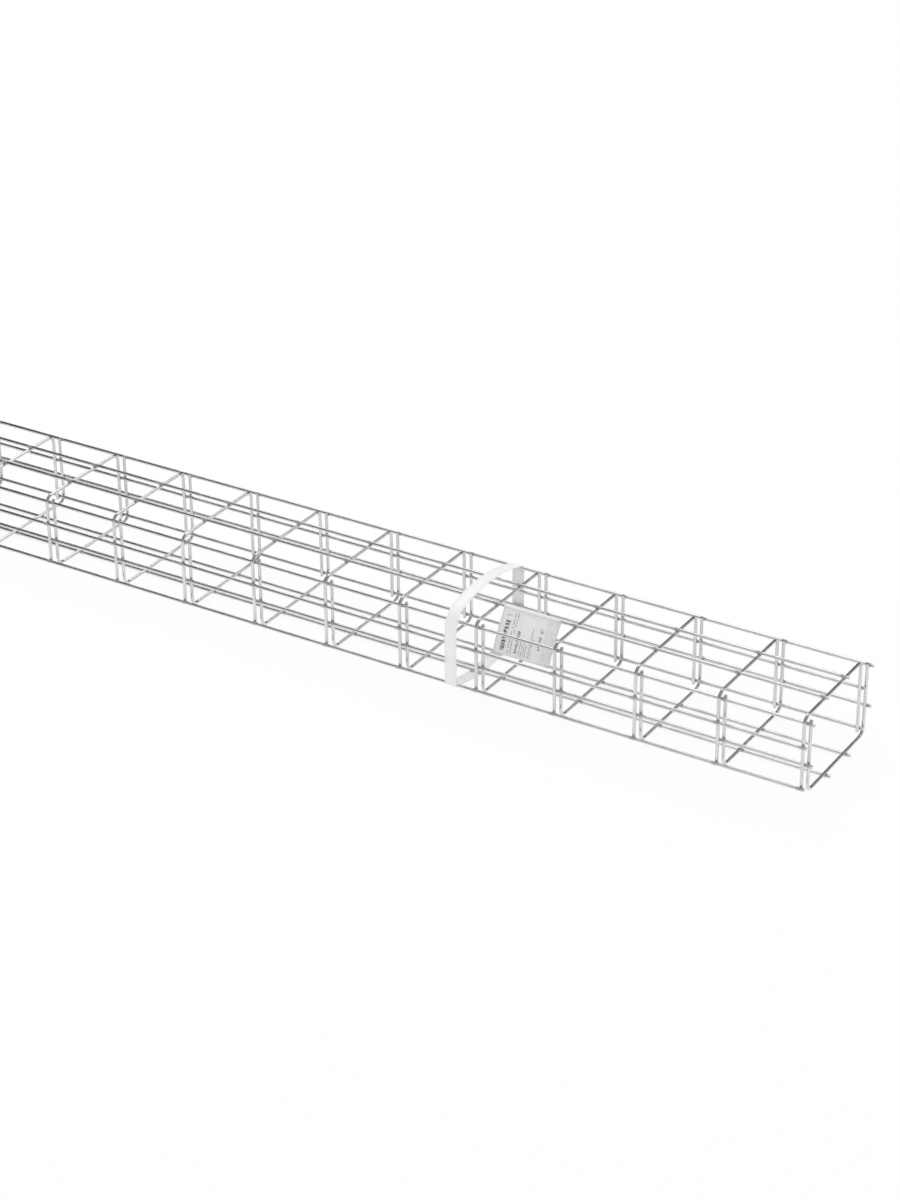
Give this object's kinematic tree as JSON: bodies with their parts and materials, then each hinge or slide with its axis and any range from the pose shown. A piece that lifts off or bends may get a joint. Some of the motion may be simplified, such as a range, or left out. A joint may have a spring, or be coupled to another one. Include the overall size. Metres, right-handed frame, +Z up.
{
  "type": "wire mesh cable basket",
  "caption": "Straight lengths of welded wire cable basket with a U section, nested mouth to mouth into a closed cage and held by flat plastic bands, with a hanging paper label.",
  "frame": {"origin": "centre of the pack's footprint, on the floor that it lies on", "axes": "+X along the baskets towards the end with the label, +Y across them towards the wall that the turned basket is tucked behind, +Z up"},
  "size_m": [3.0162, 0.159, 0.1103],
  "materials": {
    "galvanised_wire_upright": "bright zinc-plated steel wire, a little dull at the welds",
    "galvanised_wire_turned": "bright zinc-plated steel wire, a little dull at the welds",
    "band_near": "white woven-look polypropylene strapping",
    "band_far": "white woven-look polypropylene strapping",
    "label_paper": "thin light grey label paper, folded over a wire"
  },
  "bodies": {
    "root": {"upright_basket": "galvanised_wire_upright", "turned_basket": "galvanised_wire_turned", "near_band": "band_near", "far_band": "band_far", "label": "label_paper"}
  },
  "joints": []
}
